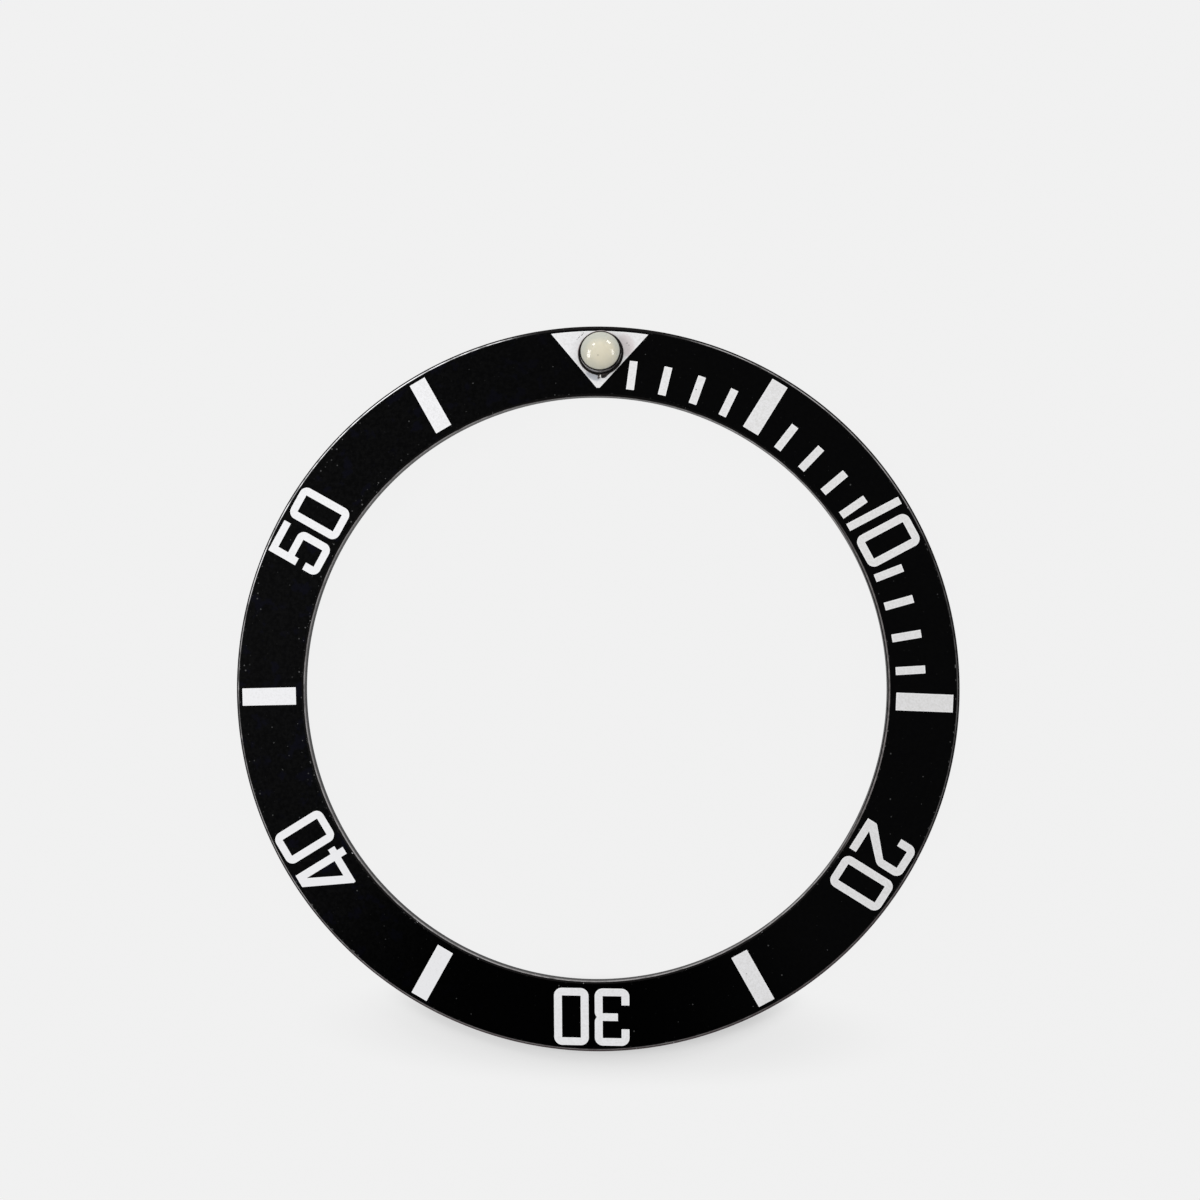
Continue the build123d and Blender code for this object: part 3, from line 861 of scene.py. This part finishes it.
def tarnishMaterial():
    # Nearly black, its outer corner paler on the rim's side, a painted highlight.
    made, tree, shader = newMaterial("tarnishedRim", tarnish)
    place = objectPlace(tree)
    tone = blend(tree, patches(tree, place, *tarnish["grain"]), tarnish["dark"], tarnish["light"])
    around = roundPearl(tree, place)
    # Painted highlight on the lip's outer corner, towards the rim.
    corner = span(tree, radiusOf(tree, around), *(pearl["cup"] - depth for depth in tarnish["highlightDepths"]))
    worn = times(tree, corner, towards(tree, around, *tarnish["highlightSide"]), tarnish["wornShare"])
    put(tree, shader, {"Base Color": blend(tree, worn, tone, tarnish["worn"])})
    return made


def domeMaterial():
    # Aged glossy dome: warm cream in the middle, greener and greyer to its edge, a painted shade.
    look = cream
    made, tree, shader = newMaterial("creamDome", look)
    place = objectPlace(tree)
    # Painted shade: darker away from a point near the crown.
    edge = span(tree, calcVector(tree, "DISTANCE", place, pearlPoint(*look["crown"])), *look["edgeShadeSpan"])
    clouds = patches(tree, place, *look["clouds"])
    tone = blend(tree, calc(tree, "ADD", edge, clouds), look["middle"], look["edge"])
    dirt = most(tree, times(tree, specks(tree, place, *look["specks"]), look["speckShare"]),
                times(tree, fleck(tree, place, *look["spot"]), look["spotShare"]))
    put(tree, shader, {"Base Color": blend(tree, dirt, tone, look["dirt"])})
    return made


def pasteMaterial():
    made, tree, shader = newMaterial("luminousPaste", paste)
    grain = noise(tree, objectPlace(tree), *paste["grain"])
    put(tree, shader, {
        "Base Color": blend(tree, grain, paste["first"], paste["second"]),
        "Normal": bump(tree, grain, *paste["bump"]),
    })
    return made


def cementMaterial():
    # Dark brown, with a pinkish upper part and a pale mark on the drop, both painted highlights.
    look = cement
    made, tree, shader = newMaterial("oldCement", look)
    place = objectPlace(tree)
    tone = blend(tree, patches(tree, place, *look["grain"]), look["dark"], look["brown"])
    # Painted highlight: a pinkish upper part.
    pink = times(tree, fleck(tree, place, *look["pinkHighlightOval"]), look["pinkShare"])
    tone = blend(tree, pink, tone, look["pink"])
    # Painted highlight: a pale mark on the drop.
    tone = blend(tree, fleck(tree, place, *look["highlightOval"]), tone, look["pale"])
    put(tree, shader, {"Base Color": tone})
    return made


def pearlCup():
    # Pin, foot, wall and cavity as one run. The steel wall lies between the tarnished foot and lip.
    pin, length, foot, low = picked(pearl, "pinRadius", "pinLength", "foot", "footHeight")
    cup, lip, floor, soft = picked(pearl, "cup", "cupHeight", "floor", "edgeRound")
    cavity, band, steps = cup - pearl["wall"], pearl["rimBand"], pearl["turnSteps"]
    run = softOutline([
        (0, -length), (pin, -length, pearl["pinRound"]), (pin, 0, soft), (foot, 0, soft),
        (foot, low / 2, soft), (cup, low, soft), (cup, lip, soft), (cavity, lip, soft),
        (cavity, floor, soft), (0, floor),
    ], pearl["arcSteps"])
    points, faces = turnedShape(run, steps)
    body = run[1:-1]
    radius, height = ((body[1:] + body[:-1]) / 2).T
    tarnished = (radius < cup - band) & (height > floor)
    tarnished |= (height > lip - band) | (height < low + pearl["footBand"])
    finishes = [np.tile(np.where(tarnished, 1, 0), steps), np.zeros(steps), np.ones(steps)]
    makePiece("pearlCup", onPearl(points), faces, [steelMaterial(), tarnishMaterial()],
              ["pearl_cup"], finishes)


def pearlLume():
    # A plain disc on the cup's floor.
    low, soft = pearl["floor"], pearl["fillRound"]
    radius, high = pearl["cup"] - pearl["wall"] - pearl["fillGap"], low + pearl["fill"]
    run = softOutline([(0, low), (radius, low, soft), (radius, high, soft), (0, high)], pearl["arcSteps"])
    points, faces = turnedShape(run, pearl["turnSteps"])
    makePiece("pearlLume", onPearl(points), faces, [pasteMaterial()], ["pearl_lume"])


def pearlDome():
    # A short cylinder under a cap: the cap's radius is (r r + h h) / 2 h for its foot r and its rise h.
    radius, rise = pearl["cup"] - pearl["wall"] - pearl["domeGap"], pearl["domeRise"]
    seat = pearl["floor"] + pearl["fill"]
    crown = seat + pearl["domeEdge"] + rise
    cap = (radius ** 2 + rise ** 2) / (2 * rise)
    a = np.linspace(math.asin(radius / cap), 0, pearl["capPoints"])
    arc = np.stack([cap * np.sin(a), crown - cap * (1 - np.cos(a))], 1)
    wide, tight = pearl["domeFoot"]
    foot = np.array([
        (0, seat), (radius - wide, seat), (radius - tight, seat + tight), (radius, seat + wide),
    ])
    points, faces = turnedShape(np.concatenate([foot, arc]), pearl["turnSteps"])
    makePiece("pearlDome", onPearl(points), faces, [domeMaterial()], ["pearl_dome"])


def pearlCement():
    # A low fillet round the foot whose reach swells into one drop on the bore side: the waves are sines
    # of the angle a round the foot, and the drop is exp(-(angle off it / spread) squared).
    a = np.linspace(0, 2 * np.pi, cement["around"], endpoint=False)[:, None]
    t = np.linspace(0, 1, cement["across"])[None]
    off = np.abs((np.degrees(a) - cement["dropAngle"] + 180) % 360 - 180)
    drop = np.exp(-(off / cement["dropSpread"]) ** 2)
    wobble = sum(share * np.sin(count * a + phase) for count, phase, share in cement["waves"])
    width, (even, wavy) = picked(cement, "width", "widthShares")
    reach = width * (even + wavy * wobble) + drop * (cement["dropReach"] - width)
    even, wavy = cement["heightShares"]
    height = cement["height"] * (even + wavy * wobble) + drop * cement["dropHeight"]
    inner, low = pearl["foot"] + cement["gap"], -cement["sunk"]
    # Upper side: a quarter ellipse from the foot's wall down to the face; under side: flat, sunk a little.
    upperRadius = inner + reach * np.sin(t * np.pi / 2)
    upperLevel = height * np.cos(t * np.pi / 2)
    radius = np.concatenate([upperRadius, inner + reach, inner + 0 * a], 1)
    level = np.concatenate([upperLevel, low + 0 * a, low + 0 * a], 1)
    points = roundAxis(radius, level, cement["around"])
    faces = [gridQuads(cement["around"], cement["across"] + 2)]
    makePiece("pearlCement", onPearl(points), faces, [cementMaterial()], ["pearl_cement"])


insertRing()
print("ring made")
allMarks()
print("marks made")
pearlCup()
pearlLume()
pearlDome()
pearlCement()
print("pearl made")


# Stage

stage = {
    "pale": (0.8796, 0.8796, 0.8796, 1), "paintedShadowTone": (0.69, 0.69, 0.69, 1), "white": (1, 1, 1, 1),
    "floorSize": 4.0, "floorDrop": 0.02, "skyLevel": 0.62,
    "poolSpot": (0.6, -18.0), "poolSize": (17.0, 3.2), "poolSpan": (0.45, 1.0, 0.45, 0.985),
}


def seenShare(tree):
    # One for camera, glossy and transmitted rays, which see the pale background itself.
    path = newNode(tree, "ShaderNodeLightPath", {})
    kinds = ("Is Camera Ray", "Is Glossy Ray", "Is Transmission Ray")
    return most(tree, *(path.outputs[kind] for kind in kinds))


def mixInto(tree, outputKind, share, first, second):
    # The first shader where share is 0 and the second where it is 1, led to the tree's output.
    mixed = newNode(tree, "ShaderNodeMixShader", {0: share, 1: first.outputs[0], 2: second.outputs[0]})
    newNode(tree, outputKind, {0: mixed.outputs[0]})


def makeFloor():
    # The object stands on its lower edge in the photograph, so its shadow and a soft darker pool show
    # there, and a plain pale tone elsewhere.
    half = stage["floorSize"] / 2
    level = -stage["floorDrop"] * mm
    corners = [(x * half, y * half, level) for x, y in ((-1, -1), (1, -1), (1, 1), (-1, 1))]
    mesh = bpy.data.meshes.new("floor")
    mesh.from_pydata(corners, [], [(0, 1, 2, 3)])
    floor = bpy.data.objects.new("floor", mesh)
    bpy.context.scene.collection.objects.link(floor)
    made = bpy.data.materials.new("paleFloor")
    made.use_nodes = True
    tree = made.node_tree
    tree.nodes.clear()
    seen = seenShare(tree)
    # Painted shadow: camera rays see the floor darker in a soft pool at the object's lower edge.
    tone = blend(tree, seen, stage["pale"], stage["paintedShadowTone"])
    plain = newNode(tree, "ShaderNodeBsdfDiffuse", {"Color": tone})
    bright = newNode(tree, "ShaderNodeEmission", {"Color": stage["pale"]})
    fromPool = placeFrom(tree, objectPlace(tree), stage["poolSpot"], stage["poolSize"])
    share = span(tree, radiusOf(tree, fromPool), *stage["poolSpan"])
    mixInto(tree, "ShaderNodeOutputMaterial", times(tree, seen, share), plain, bright)
    mesh.materials.append(made)


def makeSky():
    world = bpy.data.worlds.new("studio")
    bpy.context.scene.world = world
    world.use_nodes = True
    tree = world.node_tree
    tree.nodes.clear()
    lit = newNode(tree, "ShaderNodeBackground", {"Color": stage["white"], "Strength": stage["skyLevel"]})
    seen = newNode(tree, "ShaderNodeBackground", {"Color": stage["pale"]})
    mixInto(tree, "ShaderNodeOutputWorld", seenShare(tree), lit, seen)


# Each lamp stands off the cup's lip, where its azimuth and elevation say: (azimuth, elevation, distance
# and sizes in metres, power in watts, whether the gloss mirrors it).
lamps = {
    "windowLeft": (-33.8, 37.7, 0.30, (0.042, 0.042), 0.058, True),
    "windowRight": (29.5, 24.0, 0.30, (0.066, 0.040), 0.11, True),
    "stripLeft": (-85.5, 39.2, 0.30, (0.150, 0.066), 0.33, True),
    "stripRight": (73.9, 36.4, 0.30, (0.110, 0.045), 0.11, True),
    "overhead": (5.0, 42.0, 0.40, (0.26, 0.16), 0.42, False),
}


def makeLamps():
    lip = pearlPoint(0, 0, pearl["cupHeight"]) * mm
    for name, (azimuth, elevation, distance, size, power, mirrored) in lamps.items():
        data = bpy.data.lights.new(name, "AREA")
        data.shape = "RECTANGLE"
        data.size, data.size_y = size
        data.energy = power
        lamp = bpy.data.objects.new(name, data)
        bpy.context.scene.collection.objects.link(lamp)
        turn, rise = math.radians(azimuth), math.radians(elevation)
        away = (math.sin(turn) * math.cos(rise), math.cos(turn) * math.cos(rise), math.sin(rise))
        lamp.location = lip + distance * np.array(away)
        lamp.rotation_euler = (math.pi / 2 - rise, 0, math.pi - turn)
        lamp.visible_camera = False
        lamp.visible_glossy = mirrored


camera = {
    "place": (6.752, 2.911, 100.75), "turn": (1.022, 3.701, 0.973), "focal": 57.53, "sensor": 36,
    "clip": (5, 10000),
}


def makeCamera():
    data = bpy.data.cameras.new("camera")
    data.lens, data.sensor_width = camera["focal"], camera["sensor"]
    data.clip_start, data.clip_end = (reach * mm for reach in camera["clip"])
    made = bpy.data.objects.new("camera", data)
    made.location = [v * mm for v in camera["place"]]
    made.rotation_euler = [math.radians(v) for v in camera["turn"]]
    bpy.context.scene.collection.objects.link(made)
    bpy.context.scene.camera = made


makeFloor()
makeSky()
makeLamps()
makeCamera()
bpy.context.scene.view_settings.view_transform = "Standard"
print("stage made")
